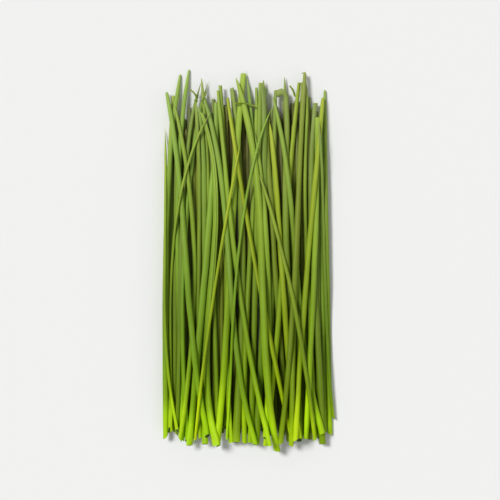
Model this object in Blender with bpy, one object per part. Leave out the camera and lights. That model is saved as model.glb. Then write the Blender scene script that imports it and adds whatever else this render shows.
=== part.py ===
"""A bunch of cut chives, lying loose on a flat surface.

The bunch is nothing but leaves: hollow round tubes, cut square or on the slant at the root end and
tapering to a soft point, or cut again, at the other. They lie the same way round. The two lowest layers
are rows of leaves pressed side by side, each row one solid. Every leaf above them is a solid of its own,
and sags until it rests on what lies beneath it.

Frame: +Y runs from the cut ends to the tips, +X across the bunch and +Z up. The origin is under the
middle of the bunch, on the surface that it lies on. Lengths are in millimetres until a mesh is made.
"""

import math
import random

import bmesh
import bpy
import numpy as np
from mathutils import Vector

# ---- Driving dimensions, mm
HALF_WIDTH = 36.7  # of the lowest layer and what lies beside it
CUT_END_Y = -83.0  # where the cut ends lie, give or take a little
GAP = 0.3  # left between two leaves that touch
SHARP_EDGE = math.radians(60)
MM = 0.001

# ---- One leaf
SIDES = 8
CORNERS = [math.pi / SIDES * (2 * k + 1) for k in range(SIDES)]
FLAT = math.cos(math.pi / SIDES)  # centre to flat side, for a corner radius of 1
RINGS = [0.0, 0.11, 0.22, 0.33, 0.45, 0.57, 0.69, 0.81, 0.91, 0.97, 1.0]
MOUTH_DEPTH = 3.0
MOUTH_SHARE = 0.66  # the hollow's radius as a share of the leaf's
HOOK_START = 0.86  # where a bent-over tip begins, as a share of the length
FOOT_SHARE = 0.93  # radius at the root end, as a share of the fullest
FOOT_END = 0.2  # where the leaf has filled out, as a share of the length
TAPER_START = 0.45
TAPER_LOSS = 0.3  # of the radius, from there to the tip
POINT_START = 0.9  # where the tip itself begins to narrow
TIP_SLANT = -0.5  # a cut tip's slant, as a share of the root cut's
SAG_LENGTH = 17.0  # how far a leaf bridges before its own weight bends it noticeably
SAG_STEPS = 12  # points tested for contact along each stretch between two rings
SAG_ROUNDS = 260
ROLLS = [0.3 * k for k in range(-5, 6)]  # how far sideways a loose leaf may roll to find a hollow
SOFT_FLOOR = 0.01  # a faint pull to the surface, which keeps the sagging sum solvable

# ---- A row of leaves pressed together
ROW_RINGS = [0.0, 0.15, 0.3, 0.45, 0.6, 0.74, 0.88, 1.0]
ROW_LEAVES = 5
ROW_RADIUS = 0.95
ROW_PITCH = 1.75  # leaf to leaf, a little under two radii
ROW_WIDTH = (ROW_LEAVES - 1) * ROW_PITCH + 2 * ROW_RADIUS
ROW_LANES = [ROW_PITCH * (i - (ROW_LEAVES - 1) / 2) for i in range(ROW_LEAVES)]
ROW_TIP_Y = 67.0
ROW_ROOT_STEP = 3.5  # how far back from the end of the row a leaf may stop
ROW_TIP_STEP = 9.0
ROW_LAYERS = (
    # rows in the layer, space between them, how far a row may lean
    (7, 0.5, 0.0),
    (5, 3.4, 1.1),
)

# ---- The single leaves
SIDE_LEAVES = 4  # on the surface beside the first layer
SIDE_TIP_Y = 68.0
UPPER_Y = 26.0
LOWER_Y = -45.0
BLUNT = 0.75  # a tip radius share above this is a tip that was cut off
LOOSE_LEAVES = (
    # tip x, tip y, x at UPPER_Y, x at LOWER_Y, base x, base y, radius, tip radius as a share, hook
    (-31.6, 75.3, -34.0, -34.2, -32.8, -76.3, 1.00, 0.80, 0),
    (-28.5, 84.9, -34.2, -35.2, -35.1, -80.4, 1.00, 0.50, 0),
    (-27.2, 87.1, -32.2, -31.0, -30.2, -81.4, 0.95, 0.50, 0),
    (-22.7, 82.8, -30.0, -32.0, -33.2, -79.0, 0.85, 0.20, 1.2),
    (-19.9, 82.6, -28.0, -30.0, -28.0, -82.0, 0.85, 0.20, 1.6),
    (-13.1, 79.3, -10.6, -9.9, -8.3, -82.1, 1.00, 0.90, 0),
    (-8.2, 78.3, -4.0, -4.5, -6.4, -82.0, 1.25, 0.90, 0),
    (-18.7, 82.6, -16.0, -13.0, -11.8, -84.0, 0.95, 0.30, -0.8),
    (3.1, 78.3, 1.5, -2.2, -2.4, -82.4, 1.00, 0.90, 0),
    (5.0, 80.5, 3.5, 1.5, 0.3, -82.0, 1.00, 0.85, 0),
    (13.4, 77.0, 12.5, 11.0, 9.5, -81.5, 1.10, 0.90, 0),
    (18.7, 83.4, 21.0, 24.8, 26.0, -80.8, 0.90, 0.30, 0),
    (27.6, 84.0, 25.2, 28.3, 29.9, -80.4, 0.85, 0.45, -2.6),
    (34.1, 77.7, 34.4, 35.8, 36.4, -79.0, 0.95, 0.60, 0),
    (29.7, 71.5, 27.7, 31.2, 32.8, -83.0, 1.00, 0.90, 0),
    (6.1, 82.0, 9.5, 14.5, 17.9, -81.8, 1.00, 0.40, 0),
    (2.1, 86.4, 6.5, 11.5, 13.5, -81.0, 0.90, 0.20, -0.8),
    (-24.5, 73.0, -22.8, -23.4, -22.2, -80.4, 0.90, 0.70, 0),
    (-22.6, 69.3, -20.4, -20.8, -20.1, -82.8, 1.00, 0.70, 0),
    (-14.2, 71.6, -17.5, -23.8, -27.2, -83.2, 1.15, 0.80, -0.9),
    (8.9, 78.6, 9.0, 7.5, 5.0, -83.2, 1.10, 0.85, 0),
    (0.1, 84.9, -4.4, -8.4, -11.4, -81.0, 1.20, 0.95, 0),
    (-34.0, 70.0, -26.5, -27.0, -31.6, -81.4, 0.85, 0.60, 0),
    (22.2, 80.4, 17.0, 11.2, 7.0, -83.0, 1.00, 0.90, 0),
    (18.2, 74.9, 16.0, 19.5, 22.2, -81.6, 1.20, 0.90, -2.2),
    (5.1, 58.4, 9.1, 11.5, 10.0, -80.0, 0.95, 0.30, 0),
    (-9.7, 73.4, -2.2, 11.5, 19.6, -82.4, 0.95, 0.80, 0),
    (11.7, 64.0, 15.4, 20.5, 25.0, -79.6, 1.05, 0.25, 0),
    (10.4, 73.8, 18.3, 25.5, 32.6, -77.9, 1.00, 0.50, 0),
    (-20.6, 74.2, -11.6, -5.4, 2.6, -82.8, 1.15, 0.85, 0),
    (-21.7, 67.0, -15.3, -19.6, -14.8, -82.6, 1.20, 0.90, 0),
    (-11.4, 76.8, -6.5, 3.5, 12.0, -82.4, 1.05, 0.85, 0),
    (-34.7, 76.6, -27.7, -21.6, -15.8, -79.6, 1.05, 0.70, 0),
    (31.0, 64.8, 30.6, 27.6, 25.9, -80.0, 1.15, 0.97, 0),
    (-6.0, 82.8, 4.2, 7.4, 12.6, -85.8, 1.30, 0.30, 0),
    (24.6, 80.5, 22.9, 20.2, 19.4, -83.2, 1.05, 0.90, 0),
    (27.8, 85.4, 24.6, 20.5, 16.6, -82.0, 1.00, 0.70, 0),
    (35.5, 74.0, 30.8, 25.0, 22.6, -80.5, 1.00, 0.80, 0),
)
THIN_LEAVES = (
    # the same for the young thin leaves that lie across the others
    (-16.6, 67.8, -30.0, -34.0, -33.6, -77.5, 0.58, 0.25, 1.5),
    (-4.0, 53.9, -9.3, -20.5, -24.7, -81.6, 0.55, 0.25, 0),
    (12.1, 69.3, 1.0, -5.5, -7.4, -80.5, 0.50, 0.25, 1.0),
    (5.5, 38.5, 9.5, 25.5, 30.5, -80.8, 0.80, 0.50, 0),
    (-35.6, 60.5, -35.0, -34.2, -29.6, -77.0, 0.55, 0.25, 0),
    (30.6, 66.0, 33.0, 35.6, 38.0, -71.9, 0.60, 0.25, 0),
)
random_source = random.Random(41)


class Leaf:
    """A leaf, or a row of leaves, as a line of ring centres with a radius at each."""

    def __init__(self, name, shares, path, radius, slant=0.0, blunt=False, lanes=(0.0,)):
        self.name = name
        self.x, self.y = path(np.array(shares))
        self.radius = radius(np.array(shares))
        self.z = np.zeros(len(shares))
        self.slant = slant  # how far the root cut leans, as rise over run
        self.blunt = blunt
        self.lanes = lanes  # sideways place of each leaf in a row
        in_row = len(lanes) > 1
        self.root_steps = [in_row * random_source.uniform(0, ROW_ROOT_STEP) for _ in lanes]
        self.tip_steps = [-in_row * random_source.uniform(0, ROW_TIP_STEP) for _ in lanes]

    def centre(self, k):
        return Vector((self.x[k], self.y[k], self.z[k]))

    def along(self, k):
        """Unit vector along the leaf at ring k."""
        last = len(self.x) - 1
        return (self.centre(min(k + 1, last)) - self.centre(max(k - 1, 0))).normalized()

    def lines(self):
        """The centre line of each leaf: one for a leaf on its own, several for a row."""
        along = np.array([self.along(k) for k in range(len(self.x))])
        across = np.column_stack([along[:, 1], -along[:, 0]])
        across /= np.linalg.norm(across, axis=1)[:, None]
        for lane in self.lanes:
            plan = np.column_stack([self.x, self.y]) + lane * across
            yield np.column_stack([plan, self.z])


def bowed_path(base_x, tip_x, base_y, tip_y, bow):
    """Plan of a leaf that runs straight but for a bow to one side."""

    def path(t):
        return base_x + (tip_x - base_x) * t + bow * 4 * t * (1 - t), base_y + (tip_y - base_y) * t

    return path


def winding_path(tip_x, tip_y, upper_x, lower_x, base_x, base_y, hook):
    """Plan of a leaf that passes through four places and may have a bent-over tip."""
    curve = np.polyfit([tip_y, UPPER_Y, LOWER_Y, base_y], [tip_x, upper_x, lower_x, base_x], 3)

    def path(t):
        y = base_y + (tip_y - base_y) * t
        bent_over = np.clip((t - HOOK_START) / (1 - HOOK_START), 0, 1) ** 2
        return np.polyval(curve, y) + hook * bent_over, y

    return path


def leaf_radius(thickest, tip_share):
    """Radius along a leaf: a slightly narrower foot, fullest in the lower half, then a long taper."""

    def radius(t):
        foot = FOOT_SHARE + (1 - FOOT_SHARE) * np.clip(t / FOOT_END, 0, 1)
        taper = 1 - TAPER_LOSS * np.clip((t - TAPER_START) / (1 - TAPER_START), 0, 1) ** 1.5
        end = 1 - (1 - tip_share) * np.clip((t - POINT_START) / (1 - POINT_START), 0, 1) ** 2
        return thickest * foot * taper * end

    return radius


# ---- The leaves, in the order that they are laid down


def rows_of_leaves():
    """The two lowest layers: rows of leaves pressed side by side."""
    number = 0
    for count, space, lean in ROW_LAYERS:
        for i in range(count):
            number += 1
            middle = (ROW_WIDTH + space) * (i - (count - 1) / 2)
            shift = random_source.uniform(-lean, lean)
            base_y = CUT_END_Y + random_source.uniform(2, 4)
            tip_y = ROW_TIP_Y + random_source.uniform(-6, 5)
            path = bowed_path(middle - shift, middle + shift, base_y, tip_y, bow=0.8)
            name = f"leaf_row_{number:02d}"
            yield Leaf(name, ROW_RINGS, path, lambda t: np.full(len(t), ROW_RADIUS), lanes=ROW_LANES)


def side_leaves():
    """Leaves that lie on the surface, two down each side."""
    for i in range(SIDE_LEAVES):
        side = -1 if i < SIDE_LEAVES / 2 else 1
        base_x = side * (HALF_WIDTH - 1.3 - 2.5 * (i % 2))
        tip_x = base_x * random_source.uniform(0.95, 0.99)
        base_y = CUT_END_Y + random_source.uniform(1, 6)
        tip_y = SIDE_TIP_Y + random_source.uniform(-5, 5)
        path = bowed_path(base_x, tip_x, base_y, tip_y, bow=-side * 0.25)
        thickest = random_source.uniform(1.0, 1.15)
        yield Leaf(f"side_leaf_{i + 1}", RINGS, path, leaf_radius(thickest, 0.35))


def placed_leaves(prefix, table):
    """Single leaves that run through the places in a table, the lowest leaf first."""
    for i, (*places, thickest, tip_share, hook) in enumerate(table):
        slant = random_source.uniform(-0.7, 0.7)
        radius = leaf_radius(thickest, tip_share)
        yield Leaf(f"{prefix}{i + 1}", RINGS, winding_path(*places, hook), radius, slant, tip_share > BLUNT)


# ---- Laying a leaf down


def contact_needs(leaf, laid):
    """The least height allowed at each point along the leaf, and the matrix that reads it from the rings."""
    last = len(leaf.x) - 1
    place = np.linspace(0, last, SAG_STEPS * last + 1)
    low = np.minimum(place.astype(int), last - 1)
    points = np.arange(len(place))
    reader = np.zeros((len(place), last + 1))
    reader[points, low] = 1 - (place - low)
    reader[points, low + 1] = place - low
    radius = reader @ leaf.radius
    need = radius * FLAT
    for line in leaf.lines():
        plan = reader @ line[:, :2]
        for start, end, start_radius, end_radius in laid:
            run = (end - start)[:2]
            share = np.clip((plan - start[:2]) @ run / (run @ run), 0, 1)
            nearest = start + share[:, None] * (end - start)
            distance = np.linalg.norm(plan - nearest[:, :2], axis=1)
            reach = radius + start_radius + share * (end_radius - start_radius) + GAP
            lift = np.sqrt(np.clip(reach**2 - distance**2, 0, None))
            need = np.where(distance < reach, np.maximum(need, nearest[:, 2] + lift), need)
    return need, reader


def sagged_heights(leaf, need, reader):
    """Heights of the rings when the leaf, a springy strip with some weight, rests on its needs.

    Each contact point pushes up just as much as it must, one after another, until none moves the strip.
    """
    count = len(leaf.x)
    length = np.concatenate([[0], np.cumsum(np.hypot(np.diff(leaf.x), np.diff(leaf.y)))])
    stiffness = np.zeros((count, count))
    for k in range(1, count - 1):
        before, after = length[k] - length[k - 1], length[k + 1] - length[k]
        bend = np.zeros(count)
        bend[k - 1 : k + 2] = 1 / before, -1 / before - 1 / after, 1 / after
        stiffness += SAG_LENGTH**4 / 8 * np.outer(bend, bend) / ((before + after) / 2)
    weight = np.gradient(length)
    give = np.linalg.inv(stiffness + SOFT_FLOOR * np.diag(weight))
    response = reader @ give @ reader.T
    height = -reader @ give @ weight
    force = np.zeros(len(need))
    for _ in range(SAG_ROUNDS):
        for k in np.flatnonzero((force > 0) | (height < need)):
            push = max(-force[k], (need[k] - height[k]) / response[k, k])
            force[k] += push
            height += push * response[:, k]
    rings = give @ (reader.T @ force - weight)
    return rings + max(0.0, (need - reader @ rings).max())


def roll_to_hollow(leaf, laid):
    """Moves the leaf sideways to where it comes to lie lowest."""
    starting_x = leaf.x
    rests = []
    for roll in ROLLS:
        leaf.x = starting_x + roll
        need, _ = contact_needs(leaf, laid)
        rests.append((need.max() + need.mean(), roll))
    leaf.x = starting_x + min(rests)[1]


def lay_down(leaf, laid):
    """Sets the leaf down on those already laid, and adds it to them."""
    need, reader = contact_needs(leaf, laid)
    on_surface = need.max() < leaf.radius.max() + GAP
    leaf.z = leaf.radius * FLAT if on_surface else sagged_heights(leaf, need, reader)
    for line in leaf.lines():
        laid.extend(zip(line[:-1], line[1:], leaf.radius[:-1], leaf.radius[1:]))
    return leaf


# ---- Building the solids


def corner(lane, k):
    """Corner k of the octagon round a lane: across, up, and which lane it is."""
    return ROW_LANES[lane] / ROW_RADIUS + math.cos(CORNERS[k]), math.sin(CORNERS[k]), lane


def valley(lane, side):
    """The dip between a lane and the next, above (side 1) or below (side -1)."""
    half = ROW_PITCH / ROW_RADIUS / 2
    return ROW_LANES[lane] / ROW_RADIUS + half, side * math.sqrt(1 - half**2), lane + 0.5


def outline(leaf):
    """The cross-section for a radius of 1: an octagon, or the outer line of several side by side."""
    if len(leaf.lanes) == 1:
        return [(math.cos(a), math.sin(a), 0) for a in CORNERS]
    last = len(leaf.lanes) - 1
    points = [corner(last, 7), corner(last, 0)]
    for lane in range(last, -1, -1):
        points += [corner(lane, 1), corner(lane, 2)] + [valley(lane - 1, 1)] * (lane > 0)
    points += [corner(0, 3), corner(0, 4)]
    for lane in range(last + 1):
        points += [corner(lane, 5), corner(lane, 6)] + [valley(lane, -1)] * (lane < last)
    return points


def add_ring(bm, leaf, k, share=1.0, shift=0.0, slant=0.0, steps=(0.0,)):
    """A closed loop of edges at ring k. It can be shrunk, moved along the leaf, slanted and stepped."""
    along = leaf.along(k)
    across = Vector((along.y, -along.x, 0)).normalized()
    upright = across.cross(along)
    scale = leaf.radius[k] * share
    root = leaf.centre(0)
    verts = []
    for u, v, lane in outline(leaf):
        forward = shift + slant * u * scale + np.interp(lane, range(len(steps)), steps)
        place = leaf.centre(k) - root + (across * u + upright * v) * scale + along * forward
        verts.append(bm.verts.new(place * MM))
    return [bm.edges.new(pair) for pair in zip(verts, verts[1:] + verts[:1])]


def build(leaf, material):
    """Makes the leaf's closed solid. A single leaf's root end is open: a short hollow mouth."""
    bm = bmesh.new()
    last = len(leaf.x) - 1
    loops = []
    if len(leaf.lanes) == 1:
        loops.append(add_ring(bm, leaf, 0, MOUTH_SHARE, shift=MOUTH_DEPTH))
        loops.append(add_ring(bm, leaf, 0, MOUTH_SHARE, slant=leaf.slant))
    loops.append(add_ring(bm, leaf, 0, slant=leaf.slant, steps=leaf.root_steps))
    loops += [add_ring(bm, leaf, k) for k in range(1, last)]
    loops.append(add_ring(bm, leaf, last, slant=leaf.slant * TIP_SLANT * leaf.blunt, steps=leaf.tip_steps))
    for one, other in zip(loops, loops[1:]):
        bmesh.ops.bridge_loops(bm, edges=one + other)
    bmesh.ops.contextual_create(bm, geom=loops[0])
    bmesh.ops.contextual_create(bm, geom=loops[-1])
    bmesh.ops.recalc_face_normals(bm, faces=bm.faces)
    mesh = bpy.data.meshes.new(leaf.name)
    bm.to_mesh(mesh)
    bm.free()
    mesh.shade_smooth()
    mesh.set_sharp_from_angle(angle=SHARP_EDGE)
    mesh.materials.append(material)
    obj = bpy.data.objects.new(leaf.name, mesh)
    obj.location = leaf.centre(0) * MM
    bpy.context.collection.objects.link(obj)
    return obj


def chive_green(name, tone):
    """Waxy green, from the dark leaves underneath to the bright ones on top."""
    material = bpy.data.materials.new(name)
    material.use_nodes = True
    shader = material.node_tree.nodes["Principled BSDF"]
    dark, bright = (0.06, 0.13, 0.015), (0.27, 0.42, 0.05)
    colour = [low + (high - low) * tone for low, high in zip(dark, bright)]
    shader.inputs["Base Color"].default_value = (*colour, 1)
    shader.inputs["Roughness"].default_value = 0.48
    shader.inputs["Metallic"].default_value = 0.0
    return material


def centre_on_origin(bunch, objects):
    """Moves the whole bunch so that its box stands centred on the origin."""
    corners = np.array([v.co + obj.location for obj in objects for v in obj.data.vertices])
    low, high = corners.min(axis=0), corners.max(axis=0)
    bunch.location = (-(low[0] + high[0]) / 2, -(low[1] + high[1]) / 2, -low[2])


def main():
    for obj in list(bpy.data.objects):
        bpy.data.objects.remove(obj)
    laid = []
    leaves = []
    for leaf in (*rows_of_leaves(), *side_leaves()):
        leaves.append(lay_down(leaf, laid))
    for leaf in (*placed_leaves("leaf_", LOOSE_LEAVES), *placed_leaves("thin_leaf_", THIN_LEAVES)):
        roll_to_hollow(leaf, laid)
        leaves.append(lay_down(leaf, laid))
    bunch = bpy.data.objects.new("chive_bunch", None)
    bpy.context.collection.objects.link(bunch)
    objects = []
    for i, leaf in enumerate(leaves):
        obj = build(leaf, chive_green(f"{leaf.name}_green", i / len(leaves)))
        obj.parent = bunch
        objects.append(obj)
    centre_on_origin(bunch, objects)


main()
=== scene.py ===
import math
import random

import bpy
import numpy as np
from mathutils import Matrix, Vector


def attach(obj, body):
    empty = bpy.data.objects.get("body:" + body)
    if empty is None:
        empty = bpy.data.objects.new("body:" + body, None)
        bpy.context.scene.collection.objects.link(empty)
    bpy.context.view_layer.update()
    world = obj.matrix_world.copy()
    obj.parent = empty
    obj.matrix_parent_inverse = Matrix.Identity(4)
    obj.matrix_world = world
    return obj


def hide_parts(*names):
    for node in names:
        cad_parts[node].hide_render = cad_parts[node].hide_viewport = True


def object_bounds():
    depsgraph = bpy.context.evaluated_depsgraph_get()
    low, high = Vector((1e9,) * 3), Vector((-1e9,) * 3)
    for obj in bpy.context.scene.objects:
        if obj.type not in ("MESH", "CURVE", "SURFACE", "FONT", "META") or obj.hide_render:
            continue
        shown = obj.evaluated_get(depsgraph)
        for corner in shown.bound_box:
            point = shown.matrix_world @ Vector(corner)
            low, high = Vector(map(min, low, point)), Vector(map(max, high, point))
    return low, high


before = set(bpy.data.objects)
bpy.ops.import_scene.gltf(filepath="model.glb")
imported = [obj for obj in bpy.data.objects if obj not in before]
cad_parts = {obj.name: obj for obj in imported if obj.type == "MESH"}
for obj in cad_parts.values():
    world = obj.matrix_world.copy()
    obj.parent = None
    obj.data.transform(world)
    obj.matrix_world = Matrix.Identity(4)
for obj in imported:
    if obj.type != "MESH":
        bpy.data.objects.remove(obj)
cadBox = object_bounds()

mm = 0.001
luck = random.Random(23)

# camera, floor and light
studio = {
    "lens": 100,
    "sensor": 36,
    "frameWidth": 225 * mm,
    "aimX": 0.4 * mm,  # from the middle of the bunch
    "aimY": 4.7 * mm,
    "aimZ": 7 * mm,
    "floorSize": 14,
    "floorZ": -0.12 * mm,
    "floorColour": (0.83, 0.83, 0.825, 1),
    "keyStrength": 2.45,
    "keyAngle": math.radians(16),  # how wide the key light is, which sets how soft its shadows are
    "keyFrom": (-0.42, 0.30, 0.86),
    "fillStrength": 0.35,
    "fillAngle": math.radians(60),
    "fillFrom": (0.6, -0.45, 0.66),
    "skyStrength": 0.32,
}


def nothingSelected():
    if bpy.context.object and bpy.context.object.mode != "OBJECT":
        bpy.ops.object.mode_set(mode="OBJECT")
    bpy.ops.object.select_all(action="DESELECT")


def addCamera():
    nothingSelected()
    height = studio["frameWidth"] * studio["lens"] / studio["sensor"] + studio["aimZ"]
    bpy.ops.object.camera_add(location=(studio["aimX"], studio["aimY"], height), rotation=(0, 0, 0))
    camera = bpy.context.object
    camera.name = "topCamera"
    camera.data.lens = studio["lens"]
    camera.data.sensor_width = studio["sensor"]
    camera.data.clip_start = 0.01
    bpy.context.scene.camera = camera


def addSoftLight(name, comesFrom, strength, angle):
    nothingSelected()
    bpy.ops.object.light_add(type="SUN", location=comesFrom)
    light = bpy.context.object
    light.name = name
    light.data.energy = strength
    light.data.angle = angle
    direction = -light.location
    light.rotation_euler = direction.to_track_quat("-Z", "Y").to_euler()


def addFloor():
    nothingSelected()
    bpy.ops.mesh.primitive_plane_add(size=studio["floorSize"], location=(0, 0, studio["floorZ"]))
    floor = bpy.context.object
    floor.name = "paleFloor"
    paint = bpy.data.materials.new("palePaper")
    paint.use_nodes = True
    shader = paint.node_tree.nodes["Principled BSDF"]
    shader.inputs["Base Color"].default_value = studio["floorColour"]
    shader.inputs["Roughness"].default_value = 0.85
    floor.data.materials.append(paint)


def addWorld():
    world = bpy.data.worlds.new("softRoom")
    world.use_nodes = True
    background = world.node_tree.nodes["Background"]
    background.inputs["Color"].default_value = (1, 1, 1, 1)
    background.inputs["Strength"].default_value = studio["skyStrength"]
    bpy.context.scene.world = world


addCamera()
addSoftLight("keyLight", studio["keyFrom"], studio["keyStrength"], studio["keyAngle"])
addSoftLight("fillLight", studio["fillFrom"], studio["fillStrength"], studio["fillAngle"])
addFloor()
addWorld()
bpy.context.scene.view_settings.view_transform = "Standard"
print("studio ready")

# finishes
skinLooks = {
    # the colours run from the cut end to the tip, at these shares of the length
    "stops": (0.0, 0.05, 0.15, 0.34, 0.60, 0.86, 1.0),
    "fresh": (
        (0.36, 0.59, 0.003), (0.235, 0.40, 0.003), (0.175, 0.305, 0.006), (0.18, 0.295, 0.016),
        (0.235, 0.36, 0.032), (0.29, 0.42, 0.058), (0.35, 0.47, 0.110),
    ),
    "warm": (1.28, 1.03, 0.62, 1),  # what the yellowest, the bluest and the darkest leaf make of them; the darkest leaves' dull tint is painted shade for leaves lying deep in the bunch
    "cool": (0.91, 0.98, 1.25, 1),
    "shadeOlive": (1.12, 1.00, 1.50, 1),
    "limeSpread": 0.05,  # how far the lime of the cut end runs up, leaf by leaf
    "limeFade": 0.32,  # the darker a leaf is, the less lime it has; leaves darkened as painted shade lose lime too
    "shadeOliveFade": 1.9,  # leaves lighter than 1 over this get none of that painted shade tint
    "darkest": 0.28,  # how much of its colour a leaf gets, from the darkest to the lightest; the dark end is partly painted shade for leaves lying low in the bunch
    "lightest": 1.35,
    "limeBalance": 0.45,  # a leaf this light keeps the colours at their own places
    "streakAround": 24,
    "streakAlong": 2.2,
    "streakDepth": 0.5,
    "seedSpread": 37.0,  # sets the streaks of one leaf apart from the next
    "mottleDepth": 0.4,
    "mottleScale": 75,
    "grainScale": 2600,
    "grainShare": 0.3,
    "noiseDetail": 3.0,
    "grainDetail": 2.0,
    "bump": 0.35,
    "bumpHeight": 0.09 * mm,
    "roughLow": 0.40,
    "roughHigh": 0.62,
    "specular": 0.16,
    "glow": 0.12,  # light that passes into the leaf
    "glowDepth": 0.8 * mm,
    "glowColour": (0.5, 1.0, 0.15),
}

fleshLooks = {
    # pale, deep, speckle size of the cut wall and of the hollow inside; the hollow's near-black greens are
    # painted shade inside the tube
    "cutLeafWall": ((0.42, 0.58, 0.10, 1), (0.26, 0.42, 0.04, 1), 1500),
    "hollowPaintedShade": ((0.075, 0.13, 0.012, 1), (0.035, 0.075, 0.008, 1), 900),
    "roughness": 0.35,
    "bump": 0.4,
    "bumpHeight": 0.08 * mm,
    "glow": 0.15,
    "glowDepth": 0.6 * mm,
}


def link(tree, fromNode, output, toNode, socket):
    tree.links.new(fromNode.outputs[output], toNode.inputs[socket])


def mathNode(tree, operation, first, second):
    node = tree.nodes.new("ShaderNodeMath")
    node.operation = operation
    for place, value in enumerate((first, second)):
        if isinstance(value, (int, float)):
            node.inputs[place].default_value = value
        else:
            tree.links.new(value, node.inputs[place])
    return node.outputs["Value"]


def mixColour(tree, blend, factor, first, second):
    node = tree.nodes.new("ShaderNodeMix")
    node.data_type = "RGBA"
    node.blend_type = blend
    for socket, value in ((0, factor), (6, first), (7, second)):
        if isinstance(value, (int, float, tuple)):
            node.inputs[socket].default_value = value
        else:
            tree.links.new(value, node.inputs[socket])
    return node.outputs[2]


def noise(tree, vector, scale, detail):
    node = tree.nodes.new("ShaderNodeTexNoise")
    node.inputs["Scale"].default_value = scale
    node.inputs["Detail"].default_value = detail
    tree.links.new(vector, node.inputs["Vector"])
    return node.outputs["Fac"]


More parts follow.
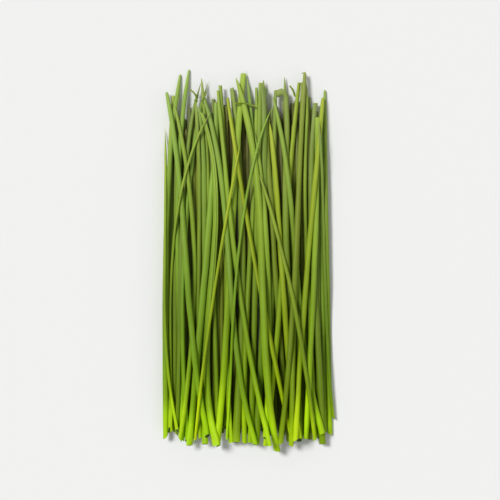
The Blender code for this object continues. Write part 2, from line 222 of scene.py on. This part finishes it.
def makeLeafSkin():
    skin = bpy.data.materials.new("chiveSkin")
    skin.use_nodes = True
    tree = skin.node_tree
    shader = tree.nodes["Principled BSDF"]
    uv = tree.nodes.new("ShaderNodeUVMap")
    uv.uv_map = "leafUV"
    uvParts = tree.nodes.new("ShaderNodeSeparateXYZ")
    link(tree, uv, "UV", uvParts, "Vector")
    tone = tree.nodes.new("ShaderNodeAttribute")
    tone.attribute_name = "leafTone"  # red: light or dark, partly random tone and partly painted shade for leaves lying low in the bunch, green: yellow or blue, blue: its own seed
    toneParts = tree.nodes.new("ShaderNodeSeparateColor")
    link(tree, tone, "Color", toneParts, "Color")
    lightness, warmth, seed = (toneParts.outputs[i] for i in range(3))

    ramp = tree.nodes.new("ShaderNodeValToRGB")
    stops = skinLooks["stops"]
    elements = ramp.color_ramp.elements
    while len(elements) < len(stops):
        elements.new(0.5)
    for element, place, colour in zip(elements, stops, skinLooks["fresh"]):
        element.position = place
        element.color = (*colour, 1)
    limeShift = mathNode(tree, "MULTIPLY", mathNode(tree, "SUBTRACT", seed, 0.5), skinLooks["limeSpread"])
    # darker leaves, partly darkened as painted shade, have their lime end shortened
    darkness = mathNode(tree, "SUBTRACT", skinLooks["limeBalance"], lightness)
    darkShift = mathNode(tree, "MULTIPLY", darkness, skinLooks["limeFade"])
    shifted = mathNode(tree, "ADD", uvParts.outputs["Y"], mathNode(tree, "ADD", limeShift, darkShift))
    tree.links.new(shifted, ramp.inputs["Fac"])

    # fine streaks along the leaf
    stretched = tree.nodes.new("ShaderNodeCombineXYZ")
    aroundU = mathNode(tree, "MULTIPLY", uvParts.outputs["X"], skinLooks["streakAround"])
    alongV = mathNode(tree, "MULTIPLY", uvParts.outputs["Y"], skinLooks["streakAlong"])
    tree.links.new(aroundU, stretched.inputs["X"])
    tree.links.new(alongV, stretched.inputs["Y"])
    tree.links.new(mathNode(tree, "MULTIPLY", seed, skinLooks["seedSpread"]), stretched.inputs["Z"])
    streaks = noise(tree, stretched.outputs["Vector"], 1.0, skinLooks["noiseDetail"])

    coords = tree.nodes.new("ShaderNodeTexCoord")
    mottle = noise(tree, coords.outputs["Object"], skinLooks["mottleScale"], skinLooks["noiseDetail"])
    grain = noise(tree, coords.outputs["Object"], skinLooks["grainScale"], skinLooks["grainDetail"])

    streakShade = mathNode(tree, "MULTIPLY_ADD", streaks, skinLooks["streakDepth"])
    streakShade.node.inputs[2].default_value = 1 - skinLooks["streakDepth"] / 2
    mottleShade = mathNode(tree, "MULTIPLY_ADD", mottle, skinLooks["mottleDepth"])
    mottleShade.node.inputs[2].default_value = 1 - skinLooks["mottleDepth"] / 2
    # each leaf's lightness scales its colour: random tone, plus painted shade that darkens the leaves lying
    # low in the bunch
    toneAndPaintedShade = mathNode(tree, "MULTIPLY_ADD", lightness, skinLooks["lightest"] - skinLooks["darkest"])
    toneAndPaintedShade.node.inputs[2].default_value = skinLooks["darkest"]
    shade = mathNode(tree, "MULTIPLY", mathNode(tree, "MULTIPLY", streakShade, mottleShade), toneAndPaintedShade)

    warm = mixColour(tree, "MULTIPLY", 1.0, ramp.outputs["Color"], skinLooks["warm"])
    cool = mixColour(tree, "MULTIPLY", 1.0, ramp.outputs["Color"], skinLooks["cool"])
    hued = mixColour(tree, "MIX", warmth, cool, warm)
    # the darkest leaves, which lie low in the bunch, are dulled by a tint that is painted shade
    shadeOliveLost = mathNode(tree, "MULTIPLY", lightness, skinLooks["shadeOliveFade"])
    shadeOliveShare = mathNode(tree, "SUBTRACT", 1.0, shadeOliveLost)
    shadeOliveShare.node.use_clamp = True
    shadeOlive = mixColour(tree, "MULTIPLY", 1.0, hued, skinLooks["shadeOlive"])
    hued = mixColour(tree, "MIX", shadeOliveShare, hued, shadeOlive)
    shadeColour = tree.nodes.new("ShaderNodeCombineColor")
    for channel in range(3):
        tree.links.new(shade, shadeColour.inputs[channel])
    coloured = mixColour(tree, "MULTIPLY", 1.0, hued, shadeColour.outputs["Color"])
    tree.links.new(coloured, shader.inputs["Base Color"])

    roughRange = tree.nodes.new("ShaderNodeMapRange")
    roughRange.inputs["To Min"].default_value = skinLooks["roughLow"]
    roughRange.inputs["To Max"].default_value = skinLooks["roughHigh"]
    tree.links.new(mottle, roughRange.inputs["Value"])
    link(tree, roughRange, "Result", shader, "Roughness")

    bump = tree.nodes.new("ShaderNodeBump")
    bump.inputs["Strength"].default_value = skinLooks["bump"]
    bump.inputs["Distance"].default_value = skinLooks["bumpHeight"]
    relief = mathNode(tree, "ADD", streaks, mathNode(tree, "MULTIPLY", grain, skinLooks["grainShare"]))
    tree.links.new(relief, bump.inputs["Height"])
    link(tree, bump, "Normal", shader, "Normal")

    shader.inputs["Subsurface Weight"].default_value = skinLooks["glow"]
    shader.inputs["Subsurface Radius"].default_value = skinLooks["glowColour"]
    shader.inputs["Subsurface Scale"].default_value = skinLooks["glowDepth"]
    shader.inputs["Specular IOR Level"].default_value = skinLooks["specular"]
    return skin


def makeFlesh(name):
    pale, deep, scale = fleshLooks[name]
    flesh = bpy.data.materials.new(name)
    flesh.use_nodes = True
    tree = flesh.node_tree
    shader = tree.nodes["Principled BSDF"]
    coords = tree.nodes.new("ShaderNodeTexCoord")
    speckle = noise(tree, coords.outputs["Object"], scale, skinLooks["noiseDetail"])
    tree.links.new(mixColour(tree, "MIX", speckle, pale, deep), shader.inputs["Base Color"])
    bump = tree.nodes.new("ShaderNodeBump")
    bump.inputs["Strength"].default_value = fleshLooks["bump"]
    bump.inputs["Distance"].default_value = fleshLooks["bumpHeight"]
    tree.links.new(speckle, bump.inputs["Height"])
    link(tree, bump, "Normal", shader, "Normal")
    shader.inputs["Roughness"].default_value = fleshLooks["roughness"]
    shader.inputs["Subsurface Weight"].default_value = fleshLooks["glow"]
    shader.inputs["Subsurface Radius"].default_value = skinLooks["glowColour"]
    shader.inputs["Subsurface Scale"].default_value = fleshLooks["glowDepth"]
    return flesh


leafSkin = makeLeafSkin()
cutWall = makeFlesh("cutLeafWall")
# the hollow's near-black colour is painted shade inside the tube
hollowPaintedShade = makeFlesh("hollowPaintedShade")
print("finishes ready")

# master leaves, each modelled once, straight along Y
tube = {
    "sides": 16,
    "length": 160 * mm,
    "radius": 1 * mm,
    "cuts": 71,  # rings between the two ends
    "wall": 0.22,  # share of the radius
    "mouthDepth": 4.5 * mm,
    "mouthSteps": 4,
    "endRings": (4.4 * mm, 3.2 * mm, 2.3 * mm, 1.6 * mm, 1.0 * mm, 0.55 * mm, 0.2 * mm),  # back from the tip
    "endCut": 2 * mm,  # what is cut off each end
    "rootPinchReach": 9 * mm,
    "tipPinchReach": 11 * mm,
    "pinchSpread": 0.35,  # how much of a flattening goes into width
    "floorShare": 0.8,  # the hollow's last ring narrows to this
    "prongReach": 3.2 * mm,  # the part of the tip that a prong is drawn from
    "prongFade": 2.5 * mm,
    "grooveBands": ((0.98, 1.1, 1.0), (0.88, 0.98, 0.35)),  # from, to, share of the depth
    "smoothUnder": math.radians(50),
    "rootZone": 3.5 * mm,  # cut faces lie this near the root or the tip
    "tipZone": 4 * mm,
    "faceOn": 0.6,  # and look at least this much along the leaf
    "rimReach": 0.9 * mm,  # a tilted rim lies within this of its middle
    "endReach": 0.1 * mm,
}

leafKinds = {
    "pointed": {
        "tip": "drawn in", "end": 0.34, "taper": 7 * mm,
        "rootTilt": 14, "rootPinch": 0.86, "groove": 0.0, "oval": 1.0,
    },
    "slim": {
        "tip": "drawn in", "end": 0.1, "taper": 16 * mm,
        "rootTilt": -38, "rootPinch": 0.72, "groove": 0.3, "oval": 0.9,
    },
    "soft": {
        "tip": "drawn in", "end": 0.25, "taper": 2.6 * mm,
        "rootTilt": 24, "rootPinch": 0.92, "groove": 0.0, "oval": 0.92,
    },
    "blunt": {
        "tip": "drawn in", "end": 0.25, "taper": 1.3 * mm,
        "rootTilt": 44, "rootPinch": 0.85, "groove": 0.0, "oval": 1.0,
    },
    "square": {
        "tip": "cut", "tipTilt": 6, "tipPinch": 0.80,
        "rootTilt": -12, "rootPinch": 0.78, "groove": 0.0, "oval": 0.88,
    },
    "slanted": {
        "tip": "cut", "tipTilt": -30, "tipPinch": 0.9,
        "rootTilt": 34, "rootPinch": 0.62, "groove": 0.35, "oval": 0.82,
    },
    "torn": {
        "tip": "cut", "tipTilt": 10, "tipPinch": 0.75,
        "rootTilt": -26, "rootPinch": 0.95, "groove": 0.2, "oval": 0.9,
        # where across the tip a prong starts, and how far it is drawn out
        "prongs": ((0.2 * mm, (0.25 * mm, 2.2 * mm, 0.15 * mm)),),
    },
    "forked": {
        "tip": "cut", "tipTilt": 4, "tipPinch": 0.7,
        "rootTilt": 18, "rootPinch": 0.8, "groove": 0.0, "oval": 0.85,
        "prongs": (
            (0.35 * mm, (0.9 * mm, 3.2 * mm, 0.1 * mm)),
            (-0.35 * mm, (-0.7 * mm, 1.6 * mm, -0.1 * mm)),
        ),
    },
}


def pickVertices(leaf, wanted):
    # selects the vertices whose place wanted() accepts, and stays in edit mode
    bpy.ops.mesh.select_mode(type="VERT")
    bpy.ops.mesh.select_all(action="DESELECT")
    bpy.ops.object.mode_set(mode="OBJECT")
    for vertex in leaf.data.vertices:
        vertex.select = wanted(vertex.co)
    bpy.ops.object.mode_set(mode="EDIT")


def cutAcross(y, tilt, keepUpper):
    # slices the tube at y, tilted, and leaves the new rim selected
    bpy.ops.mesh.select_all(action="SELECT")
    angle = math.radians(tilt)
    normal = (0, math.cos(angle), math.sin(angle))
    bpy.ops.mesh.bisect(
        plane_co=(0, y, 0), plane_no=normal, clear_inner=keepUpper, clear_outer=not keepUpper, use_fill=False
    )


def hollowOut(inward):
    # from a selected rim: the cut face of the wall, then a hollow closed by a floor; the hollow and its
    # floor take the near-black painted shade colour
    bpy.ops.mesh.extrude_edges_move()
    bpy.ops.transform.resize(value=(1 - tube["wall"], 1, 1 - tube["wall"]))
    step = inward * tube["mouthDepth"] / tube["mouthSteps"]
    for _ in range(tube["mouthSteps"]):
        bpy.ops.mesh.extrude_edges_move(TRANSFORM_OT_translate={"value": (0, step, 0)})
    bpy.ops.transform.resize(value=(tube["floorShare"], 1, tube["floorShare"]))
    bpy.ops.mesh.edge_face_add()


def pinch(leaf, y, share, reach):
    # flattens the end of the tube a little, fading out along it
    pickVertices(leaf, lambda co: abs(co.y - y) < tube["rimReach"])
    bpy.ops.transform.resize(
        value=(1 + (1 - share) * tube["pinchSpread"], 1, share), use_proportional_edit=True,
        proportional_edit_falloff="SMOOTH", proportional_size=reach,
    )


def foldIn(leaf, depth):
    # a shallow groove down one side, where a hollow leaf has begun to collapse
    for low, high, share in tube["grooveBands"]:
        pickVertices(leaf, lambda co: low < co.x / tube["radius"] < high)
        bpy.ops.transform.translate(value=(-depth * share * tube["radius"], 0, 0))


def modelLeaf(name, kind):
    nothingSelected()
    length = tube["length"]
    bpy.ops.mesh.primitive_cylinder_add(
        vertices=tube["sides"], radius=tube["radius"], depth=length, end_fill_type="NOTHING",
        location=(0, length / 2, 0), rotation=(-math.pi / 2, 0, 0),
    )
    leaf = bpy.context.object
    leaf.name = name
    bpy.ops.object.transform_apply(location=True, rotation=True)
    leaf.data.uv_layers[0].name = "leafUV"
    leaf.data.materials.append(leafSkin)
    leaf.data.materials.append(cutWall)
    leaf.data.materials.append(hollowPaintedShade)
    bpy.ops.object.mode_set(mode="EDIT")
    bpy.ops.mesh.select_mode(type="EDGE")
    bpy.ops.mesh.select_all(action="DESELECT")
    bpy.ops.object.mode_set(mode="OBJECT")
    for edge in leaf.data.edges:
        ends = [leaf.data.vertices[i].co.y for i in edge.vertices]
        edge.select = abs(ends[0] - ends[1]) > length / 2
    bpy.ops.object.mode_set(mode="EDIT")
    bpy.ops.mesh.subdivide(number_cuts=tube["cuts"])
    for back in tube["endRings"]:
        bpy.ops.mesh.select_all(action="SELECT")
        bpy.ops.mesh.bisect(plane_co=(0, length - back, 0), plane_no=(0, 1, 0), use_fill=False)
    foldIn(leaf, kind["groove"])
    bpy.ops.mesh.select_all(action="SELECT")
    bpy.ops.transform.resize(value=(2 - kind["oval"], 1, kind["oval"]))

    rootY = tube["endCut"]
    cutAcross(rootY, kind["rootTilt"], keepUpper=True)
    hollowOut(1)
    pinch(leaf, rootY, kind["rootPinch"], tube["rootPinchReach"])

    tipY = length - tube["endCut"]
    if kind["tip"] == "cut":
        cutAcross(tipY, kind["tipTilt"], keepUpper=False)
        hollowOut(-1)
        pinch(leaf, tipY, kind["tipPinch"], tube["tipPinchReach"])
    else:
        pickVertices(leaf, lambda co: co.y > length - tube["endReach"])
        bpy.ops.transform.resize(
            value=(kind["end"], 1, kind["end"]), use_proportional_edit=True,
            proportional_edit_falloff="SHARP", proportional_size=kind["taper"],
        )
        bpy.ops.mesh.merge(type="CENTER")
    for start, way in kind.get("prongs", ()):
        pullTip(leaf, start, way)
    bpy.ops.object.mode_set(mode="OBJECT")
    setLeafParts(leaf)
    bpy.ops.object.shade_smooth_by_angle(angle=tube["smoothUnder"])
    leaf.hide_render = True
    return leaf


def pullTip(leaf, start, way):
    # draws the side of a cut tip that lies past start out into a ragged prong
    side = math.copysign(1, start)
    nearTip = tube["length"] - tube["prongReach"]
    pickVertices(leaf, lambda co: co.y > nearTip and co.x * side > start * side)
    bpy.ops.transform.translate(
        value=way, use_proportional_edit=True, proportional_edit_falloff="SHARP",
        proportional_size=tube["prongFade"],
    )


def setLeafParts(leaf):
    # gives the cut wall its own finish, and the hollow its near-black colour, painted shade inside the tube
    for face in leaf.data.polygons:
        middle = face.center
        outward = face.normal.dot((middle.x, 0, middle.z))
        nearEnd = middle.y < tube["rootZone"] or middle.y > tube["length"] - tube["tipZone"]
        if abs(face.normal.y) > tube["faceOn"] and nearEnd:
            face.material_index = 1 if len(face.vertices) < tube["sides"] else 2
        elif outward < 0:
            face.material_index = 2
        else:
            face.material_index = 0


masters = {name: modelLeaf("master_" + name, kind) for name, kind in leafKinds.items()}
for name, leaf in masters.items():
    size = tuple(round(d / mm, 2) for d in leaf.dimensions)
    print("modelled", name, len(leaf.data.polygons), "faces", size)

# reading where each leaf lies
reading = {
    "ringGap": 1.1 * mm,  # rings of one leaf are further apart than this
    "rowPoints": 32,  # corners in a full ring of a row
    "rowLeaves": 5,
    "flat": math.cos(math.pi / 8),  # from middle to flat side, when eight sides have corner radius 1
    "rowPlaces": 9,
}


def ringGroups(node):
    spots = np.unique(np.round([vertex.co[:] for vertex in node.data.vertices], 6), axis=0)
    spots = spots[np.argsort(spots[:, 1])]
    breaks = np.flatnonzero(np.diff(spots[:, 1]) > reading["ringGap"]) + 1
    return spots, np.split(spots, breaks)


def leafLine(node):
    # middle and radius of each ring of a single leaf, from the cut end to the tip
    _, groups = ringGroups(node)
    del groups[1]  # the floor of the hollow
    line = []
    for group in groups:
        middle = group.mean(axis=0)
        radius = np.hypot(group[:, 0] - middle[0], group[:, 2] - middle[2]).max()
        line.append((*middle, radius))
    return line


def rowLines(node):
    # the same for each leaf of a row
    spots, groups = ringGroups(node)
    rings = [group for group in groups if len(group) == reading["rowPoints"]]
    radius = np.mean([np.ptp(ring[:, 2]) for ring in rings]) / 2 / reading["flat"]
    halfSpread = np.mean([np.ptp(ring[:, 0]) for ring in rings]) / 2 - radius * reading["flat"]
    middles = np.array([(ring.max(axis=0) + ring.min(axis=0)) / 2 for ring in rings])
    bowX = np.polyfit(middles[:, 1], middles[:, 0], 2)
    bowZ = np.polyfit(middles[:, 1], middles[:, 2], 1)
    lines = []
    for i in range(reading["rowLeaves"]):
        offset = halfSpread * (i / (reading["rowLeaves"] - 1) * 2 - 1)
        near = spots[np.abs(spots[:, 0] - np.polyval(bowX, spots[:, 1]) - offset) < radius / 2]
        places = np.linspace(near[:, 1].min(), near[:, 1].max(), reading["rowPlaces"])
        lines.append([(np.polyval(bowX, y) + offset, y, np.polyval(bowZ, y), radius) for y in places])
    return lines


# laying the leaves
laying = {
    "plump": 1.19,  # how much fuller a leaf is than its plain tube
    "tipFlare": 0.18,  # how much fuller again it is at its tip
    "footFlare": (1.10, 1.05, 1.02),  # the first places of a line, from the cut end
    "squeeze": 0.42 * mm,  # how far the lowest leaves are raised and the highest lowered
    "rowPlump": 0.90,
    "wander": 0.16 * mm,  # how far a leaf strays from its path, to each side
    "wanderSize": 22 * mm,
    "dent": 0.10 * mm,
    "dentSize": 6 * mm,
    "twist": 1.6,  # radians from end to end, at most
    "rowTipExtra": 9 * mm,  # how far a row leaf may pass the row's own tip
    "rowTipLuck": (0.2, 1),  # the share of that it does
    "rowRootExtra": 1.5 * mm,
    "rowTipShare": 0.88,  # how much of its width a row leaf keeps at its tip
    "rowKinds": ("soft", "blunt", "square", "slanted", "torn", "square", "blunt", "pointed"),
    "bluntFrom": 0.52,  # tip radius as a share of the leaf's fullest
    "softFrom": 0.33,
    "bluntKinds": ("square", "slanted", "torn", "blunt", "square"),
    "softKinds": ("soft", "blunt"),
    "slenderKinds": ("pointed", "slim"),
    "tipBentOver": {
        # mm from the tip, and the radius as a share of the tip's own
        "leaf_25": ((-1.0, 1.1, 0.3, 1.5), (-2.8, 0.9, 0.2, 1.5), (-3.7, -0.9, -0.4, 1.3)),
        "leaf_13": ((-0.5, 1.0, 0.4, 1.0), (-1.5, 0.7, 0.8, 1.0)),
    },
    "tipChosen": {
        "leaf_1": "blunt", "leaf_2": "blunt", "leaf_3": "blunt", "leaf_4": "slim", "leaf_5": "slim",
        "leaf_6": "square", "leaf_7": "square", "leaf_8": "soft", "leaf_9": "torn", "leaf_10": "square",
        "leaf_11": "square", "leaf_12": "soft", "leaf_14": "blunt", "leaf_16": "soft", "leaf_17": "slim",
        "leaf_21": "forked", "leaf_22": "square", "leaf_24": "square", "leaf_25": "blunt", "leaf_29": "soft",
        "leaf_32": "square", "leaf_33": "blunt", "leaf_34": "square", "leaf_35": "soft", "leaf_36": "square",
        "leaf_37": "blunt", "leaf_38": "blunt",
    },
    # row leaves lie under the loose leaves, and their low lightness is painted shade for that lower layer
    "rowShadedLightness": (0.02, 0.42),  # lightness and warmth run from 0 to 1
    "rowWarmth": (0.25, 0.9),
    "footShadedLightness": 0.30,  # of a leaf at the bottom of the bunch, kept dark as painted shade, before luck adds to it
    "heightPaintedLight": 0.22,  # what the topmost leaf has more: painted light, so that lower leaves read as shaded
    "luckLightness": (0, 0.36),
    "warmth": (0.0, 0.62),
    "toneChosen": {
        # how light and how yellow the leaves that stand out are
        "leaf_22": (0.80, 0.35), "leaf_27": (0.80, 0.90), "leaf_28": (0.78, 0.85), "leaf_30": (0.62, 0.10),
        "leaf_31": (0.74, 0.25), "leaf_32": (0.76, 0.30), "leaf_33": (0.72, 0.05), "leaf_34": (0.82, 0.30),
        "leaf_35": (0.74, 0.35), "leaf_38": (0.75, 0.75),
        "thin_leaf_1": (0.66, 0.40), "thin_leaf_2": (0.88, 0.95),
    },
}

wanderTexture = bpy.data.textures.new("slowWander", "CLOUDS")
wanderTexture.noise_scale = laying["wanderSize"]
dentTexture = bpy.data.textures.new("softDents", "CLOUDS")
dentTexture.noise_scale = laying["dentSize"]


def makePath(line, plump):
    path = bpy.data.curves.new("leafPath", "CURVE")
    path.dimensions = "3D"
    path.use_radius = True
    path.use_stretch = True
    path.use_deform_bounds = True
    path.resolution_u = 10
    spline = path.splines.new("BEZIER")
    spline.bezier_points.add(len(line) - 1)
    spline.radius_interpolation = "CARDINAL"
    twist = luck.uniform(-1, 1) * laying["twist"]
    for i, (point, (x, y, z, radius)) in enumerate(zip(spline.bezier_points, line)):
        point.co = (x, y, z)
        point.handle_left_type = "AUTO"
        point.handle_right_type = "AUTO"
        point.radius = radius / tube["radius"] * plump
        point.tilt = twist * i / len(line)
    holder = bpy.data.objects.new("leafPath", path)
    bpy.context.collection.objects.link(holder)
    return holder


def layLeaf(name, kind, line, tone, plump):
    nothingSelected()
    master = masters[kind]
    leaf = bpy.data.objects.new(name, master.data.copy())
    bpy.context.collection.objects.link(leaf)
    leaf.select_set(True)
    bpy.context.view_layer.objects.active = leaf
    bpy.ops.transform.rotate(value=luck.uniform(0, math.tau), orient_axis="Y", center_override=(0, 0, 0))
    bpy.ops.object.transform_apply(rotation=True)
    path = makePath(line, plump)
    bend = leaf.modifiers.new("lieAlong", "CURVE")
    bend.object = path
    bend.deform_axis = "POS_Y"
    wander = leaf.modifiers.new("wander", "DISPLACE")
    wander.texture = wanderTexture
    wander.direction = "RGB_TO_XYZ"
    wander.strength = laying["wander"] * 2
    dents = leaf.modifiers.new("dents", "DISPLACE")
    dents.texture = dentTexture
    dents.strength = laying["dent"]
    for modifier in ("lieAlong", "wander", "dents"):
        bpy.ops.object.modifier_apply(modifier=modifier)
    bpy.data.objects.remove(path)
    shade = leaf.data.attributes.new("leafTone", "FLOAT_COLOR", "CORNER")
    shade.data.foreach_set("color", [*tone, 1.0] * len(shade.data))
    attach(leaf, "root")
    return leaf


def shapedLine(nodeName, line):
    # fills out the foot and the tip, draws the layers together, and bends some tips over
    line = [list(point) for point in line]
    for point, flare in zip(line, laying["footFlare"]):
        point[3] *= flare
    for i, point in enumerate(line):
        point[2] += laying["squeeze"] * (1 - 2 * point[2] / cadBox[1][2])
        point[3] *= 1 + laying["tipFlare"] * (i / (len(line) - 1)) ** 2
    tipX, tipY, tipZ, tipRadius = line[-1]
    for x, y, z, share in laying["tipBentOver"].get(nodeName, ()):
        line.append([tipX + x * mm, tipY + y * mm, tipZ + z * mm, tipRadius * share])
    return line


def kindFor(nodeName, line):
    share = line[-1][3] / max(point[3] for point in line)
    if nodeName in laying["tipChosen"]:
        return laying["tipChosen"][nodeName]
    if share > laying["bluntFrom"]:
        return luck.choice(laying["bluntKinds"])
    if share > laying["softFrom"]:
        return luck.choice(laying["softKinds"])
    return luck.choice(laying["slenderKinds"])


laidLines = []
for nodeName in sorted(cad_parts):
    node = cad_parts[nodeName]
    if nodeName.startswith("leaf_row"):
        for i, line in enumerate(rowLines(node)):
            line = shapedLine(nodeName, line)
            line[-1][1] += luck.uniform(*laying["rowTipLuck"]) * laying["rowTipExtra"]
            line[0][1] -= luck.uniform(-1, 1) * laying["rowRootExtra"]
            line[-1][3] *= laying["rowTipShare"]
            # row leaves get low lightness: painted shade for the layer under the loose leaves
            tone = (luck.uniform(*laying["rowShadedLightness"]), luck.uniform(*laying["rowWarmth"]), luck.random())
            kind = luck.choice(laying["rowKinds"])
            leaf = layLeaf(f"rowLeaf_{nodeName[-2:]}_{i + 1}", kind, line, tone, laying["rowPlump"])
            laidLines.append(line)
            if i == 0:
                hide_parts(nodeName)
    else:
        line = shapedLine(nodeName, leafLine(node))
        # leaves whose cut ends lie higher get lighter colour: painted shade for the lower leaves, with
        # random tone from luck added
        heightShare = line[0][2] / cadBox[1][2]
        lightness = laying["footShadedLightness"] + laying["heightPaintedLight"] * heightShare
        lightness += luck.uniform(*laying["luckLightness"])
        warmth = luck.uniform(*laying["warmth"])
        lightness, warmth = laying["toneChosen"].get(nodeName, (lightness, warmth))
        tone = (lightness, warmth, luck.random())
        laidLines.append(line)
        leaf = layLeaf("chive_" + nodeName, kindFor(nodeName, line), line, tone, laying["plump"])
        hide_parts(nodeName)
print("laid", len(laidLines), "leaves")

# wisps: broken bits and thin shoots caught across the leaves
wisps = {
    "slender": 0.36 * mm,
    "lightness": (0.35, 0.6),
    "warmth": (0.2, 0.7),
    "routes": (
        # places in mm, from the middle of the bunch
        ((-6.2, 70.4), (-3.4, 70.6), (0.2, 70.2), (3.0, 69.3)),
        ((-23.2, 71.5), (-24.4, 75.0), (-26.6, 77.2)),
        ((20.6, 74.6), (19.9, 77.2), (18.4, 79.4)),
        ((-21.4, 71.2), (-20.0, 73.6), (-19.2, 76.2)),
    ),
}


def restingHeight(lines, x, y, radius):
    # how high something of this radius lies at x, y on the leaves already laid
    height = radius
    for line in lines:
        spots = np.array(line)
        at = np.clip(np.interp(y, spots[:, 1], np.arange(len(spots))), 0, len(spots) - 1)
        spotX, spotZ, spotRadius = (np.interp(at, np.arange(len(spots)), spots[:, k]) for k in (0, 2, 3))
        reach = radius + spotRadius
        if abs(x - spotX) < reach and spots[0, 1] < y < spots[-1, 1]:
            height = max(height, spotZ + math.sqrt(reach**2 - (x - spotX) ** 2))
    return height


for i, route in enumerate(wisps["routes"]):
    places = [(x * mm, y * mm) for x, y in route]
    height = max(restingHeight(laidLines, x, y, wisps["slender"]) for x, y in places)
    line = [(x, y, height, wisps["slender"]) for x, y in places]
    tone = (luck.uniform(*wisps["lightness"]), luck.uniform(*wisps["warmth"]), luck.random())
    wisp = layLeaf(f"wisp_{i + 1}", "pointed", line, tone, 1.0)
for master in masters.values():
    bpy.data.objects.remove(master)
print("laid", len(wisps["routes"]), "wisps")
